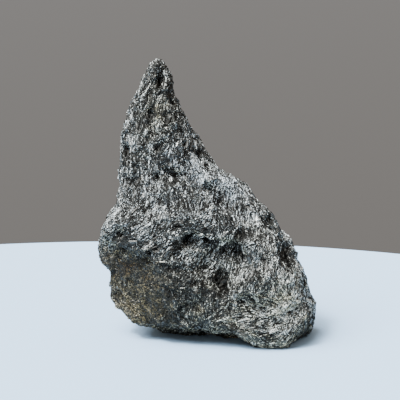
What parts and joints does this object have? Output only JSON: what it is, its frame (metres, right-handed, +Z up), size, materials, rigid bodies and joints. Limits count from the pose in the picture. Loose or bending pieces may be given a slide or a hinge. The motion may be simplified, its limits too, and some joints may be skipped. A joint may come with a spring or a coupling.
{
  "type": "rough nuummite specimen",
  "caption": "Rough broken lump of nuummite with a leaning spire, standing by itself on a flat break: a display specimen of interlocking amphibole blades.",
  "frame": {"origin": "bottom centre of the bounding box, on the flat break that the stone stands on", "axes": "+Z up, +Y towards the back of the specimen, +X to the right of someone facing its hollowed front; the spire is on the -X side"},
  "size_m": [0.0638, 0.0406, 0.0811],
  "materials": {
    "nuummite": "rough broken rock, dark grey-green to black with silvery cleavage faces on short interlocking blades, and an olive-brown stained face low on the left"
  },
  "bodies": {
    "root": {"nuummite_stone": "nuummite"}
  },
  "joints": []
}
